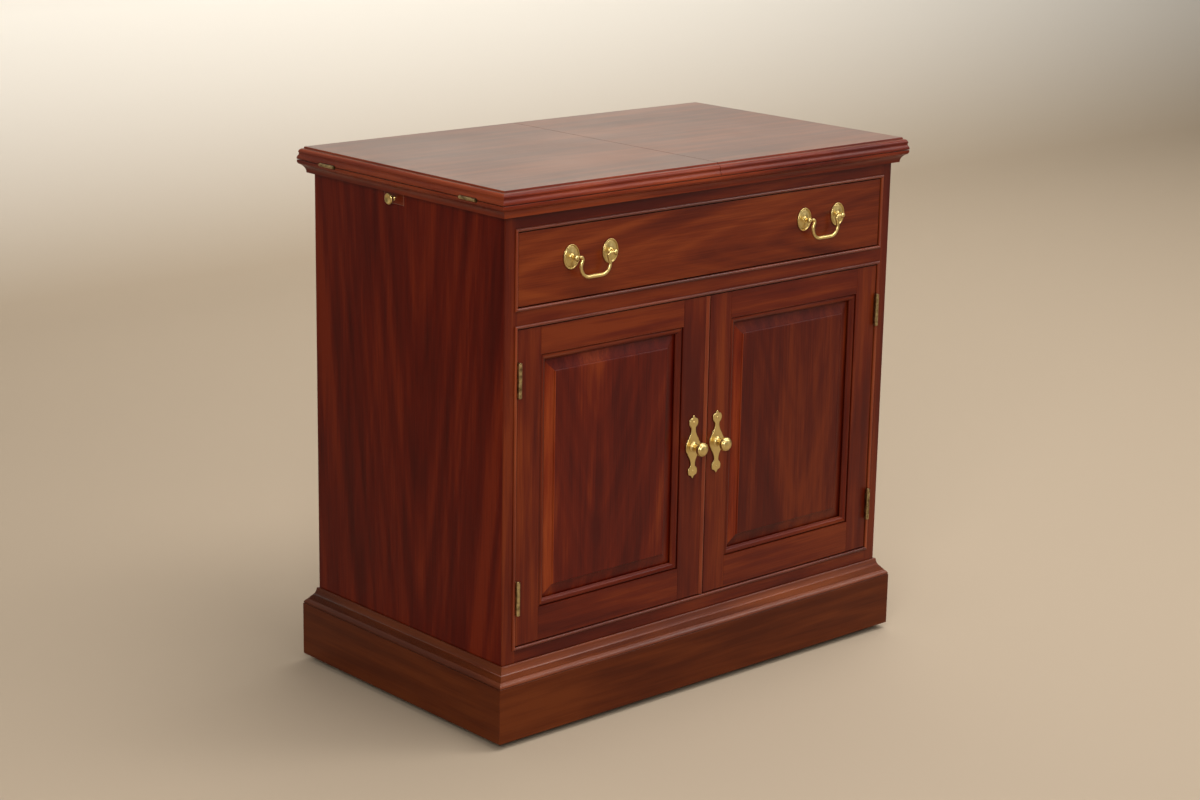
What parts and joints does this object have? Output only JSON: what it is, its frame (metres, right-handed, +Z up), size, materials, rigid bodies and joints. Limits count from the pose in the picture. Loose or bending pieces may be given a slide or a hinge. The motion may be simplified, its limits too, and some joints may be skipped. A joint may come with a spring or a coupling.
{
  "type": "flip-top server cabinet",
  "caption": "Rolling server cabinet: twin top leaves fold out onto pull-out lopers, over a wide drawer with bail pulls and a cupboard with raised-panel doors.",
  "frame": {"origin": "on the floor, under the middle of the whole closed cabinet's box", "axes": "+X to the cabinet's right as seen from the front, +Y to its back, +Z up"},
  "size_m": [0.8936, 0.53, 0.8742],
  "materials": {
    "case_veneer": "satin lacquer, dark red mahogany, upright grain",
    "frame_wood": "satin lacquer, dark red mahogany",
    "top_wood": "satin lacquer, dark red mahogany, grain across the width",
    "panel_wood": "satin lacquer, dark red mahogany, upright grain",
    "drawer_front_wood": "satin lacquer, dark red mahogany, level grain",
    "plinth_wood": "satin lacquer, dark red mahogany, level grain",
    "inner_wood": "bare pale hardwood, sealed",
    "bright_brass": "polished, lacquered",
    "aged_brass": "antiqued, dull",
    "zinc_steel": "zinc plated",
    "wheel_plastic": "matte black"
  },
  "bodies": {
    "cabinet": {"case_side_left": "case_veneer", "case_side_right": "case_veneer", "case_back": "case_veneer", "case_bottom": "case_veneer", "face_stiles": "frame_wood", "face_top_rail": "frame_wood", "face_mid_rail": "frame_wood", "face_bottom_rail": "frame_wood", "cock_beads": "frame_wood", "dust_frame": "inner_wood", "drawer_guides": "inner_wood", "loper_guides": "inner_wood", "fixed_top": "top_wood", "shelf": "case_veneer", "shelf_pins": "aged_brass", "door_catches": "aged_brass", "plinth_boards": "plinth_wood", "plinth_cap": "plinth_wood", "corner_blocks": "inner_wood", "caster_plates": "zinc_steel", "leaf_hinges_fixed": "aged_brass", "door_hinges_fixed": "aged_brass"},
    "leaf_left": {"leaf_left": "top_wood", "leaf_hinges_left": "aged_brass"},
    "leaf_right": {"leaf_right": "top_wood", "leaf_hinges_right": "aged_brass"},
    "loper_left": {"loper_left": "case_veneer", "loper_knob_left": "bright_brass"},
    "loper_right": {"loper_right": "case_veneer", "loper_knob_right": "bright_brass"},
    "drawer": {"drawer_front": "drawer_front_wood", "drawer_sides": "inner_wood", "drawer_back": "inner_wood", "drawer_bottom": "inner_wood", "pull_roses": "bright_brass", "pull_posts": "bright_brass"},
    "bail_left": {"bail_left": "bright_brass"},
    "bail_right": {"bail_right": "bright_brass"},
    "door_left": {"door_left_stiles": "frame_wood", "door_left_rails": "frame_wood", "door_left_panel": "panel_wood", "door_left_hinges": "aged_brass", "door_left_knob_plate": "bright_brass", "door_left_knob": "bright_brass", "door_astragal": "frame_wood"},
    "door_right": {"door_right_stiles": "frame_wood", "door_right_rails": "frame_wood", "door_right_panel": "panel_wood", "door_right_hinges": "aged_brass", "door_right_knob_plate": "bright_brass", "door_right_knob": "bright_brass"},
    "caster_fork_front_left": {"caster_fork_front_left": "zinc_steel"},
    "caster_wheel_front_left": {"caster_wheel_front_left": "wheel_plastic"},
    "caster_fork_front_right": {"caster_fork_front_right": "zinc_steel"},
    "caster_wheel_front_right": {"caster_wheel_front_right": "wheel_plastic"},
    "caster_fork_back_left": {"caster_fork_back_left": "zinc_steel"},
    "caster_wheel_back_left": {"caster_wheel_back_left": "wheel_plastic"},
    "caster_fork_back_right": {"caster_fork_back_right": "zinc_steel"},
    "caster_wheel_back_right": {"caster_wheel_back_right": "wheel_plastic"}
  },
  "joints": [
    {"name": "leaf_left_hinge", "type": "hinge", "parent": "cabinet", "child": "leaf_left", "pos_m": [-0.444, 0.0045, 0.8531], "axis": [0, -1, 0], "range_deg": [0, 180]},
    {"name": "leaf_right_hinge", "type": "hinge", "parent": "cabinet", "child": "leaf_right", "pos_m": [0.444, 0.0045, 0.8531], "axis": [0, 1, 0], "range_deg": [0, 180]},
    {"name": "loper_left_slide", "type": "slide", "parent": "cabinet", "child": "loper_left", "axis": [-1, 0, 0], "range_m": [0, 0.3]},
    {"name": "loper_right_slide", "type": "slide", "parent": "cabinet", "child": "loper_right", "axis": [1, 0, 0], "range_m": [0, 0.3]},
    {"name": "drawer_slide", "type": "slide", "parent": "cabinet", "child": "drawer", "axis": [0, -1, 0], "range_m": [0, 0.34]},
    {"name": "bail_left_swing", "type": "hinge", "parent": "drawer", "child": "bail_left", "pos_m": [-0.2535, -0.2475, 0.7572], "axis": [-1, 0, 0], "range_deg": [-8, 100]},
    {"name": "bail_right_swing", "type": "hinge", "parent": "drawer", "child": "bail_right", "pos_m": [0.2535, -0.2475, 0.7572], "axis": [-1, 0, 0], "range_deg": [-8, 100]},
    {"name": "door_left_hinge", "type": "hinge", "parent": "cabinet", "child": "door_left", "pos_m": [-0.3961, -0.2407, 0.40975], "axis": [0, 0, -1], "range_deg": [0, 170]},
    {"name": "door_right_hinge", "type": "hinge", "parent": "cabinet", "child": "door_right", "pos_m": [0.3961, -0.2407, 0.40975], "axis": [0, 0, 1], "range_deg": [0, 170]},
    {"name": "caster_front_left_swivel", "type": "hinge", "parent": "cabinet", "child": "caster_fork_front_left", "pos_m": [-0.36, -0.1725, 0.042], "axis": [0, 0, 1], "continuous": true},
    {"name": "caster_front_left_roll", "type": "hinge", "parent": "caster_fork_front_left", "child": "caster_wheel_front_left", "pos_m": [-0.36, -0.1565, 0.02], "axis": [1, 0, 0], "continuous": true},
    {"name": "caster_front_right_swivel", "type": "hinge", "parent": "cabinet", "child": "caster_fork_front_right", "pos_m": [0.36, -0.1725, 0.042], "axis": [0, 0, 1], "continuous": true},
    {"name": "caster_front_right_roll", "type": "hinge", "parent": "caster_fork_front_right", "child": "caster_wheel_front_right", "pos_m": [0.36, -0.1565, 0.02], "axis": [1, 0, 0], "continuous": true},
    {"name": "caster_back_left_swivel", "type": "hinge", "parent": "cabinet", "child": "caster_fork_back_left", "pos_m": [-0.36, 0.1955, 0.042], "axis": [0, 0, 1], "continuous": true},
    {"name": "caster_back_left_roll", "type": "hinge", "parent": "caster_fork_back_left", "child": "caster_wheel_back_left", "pos_m": [-0.36, 0.2115, 0.02], "axis": [1, 0, 0], "continuous": true},
    {"name": "caster_back_right_swivel", "type": "hinge", "parent": "cabinet", "child": "caster_fork_back_right", "pos_m": [0.36, 0.1955, 0.042], "axis": [0, 0, 1], "continuous": true},
    {"name": "caster_back_right_roll", "type": "hinge", "parent": "caster_fork_back_right", "child": "caster_wheel_back_right", "pos_m": [0.36, 0.2115, 0.02], "axis": [1, 0, 0], "continuous": true}
  ]
}
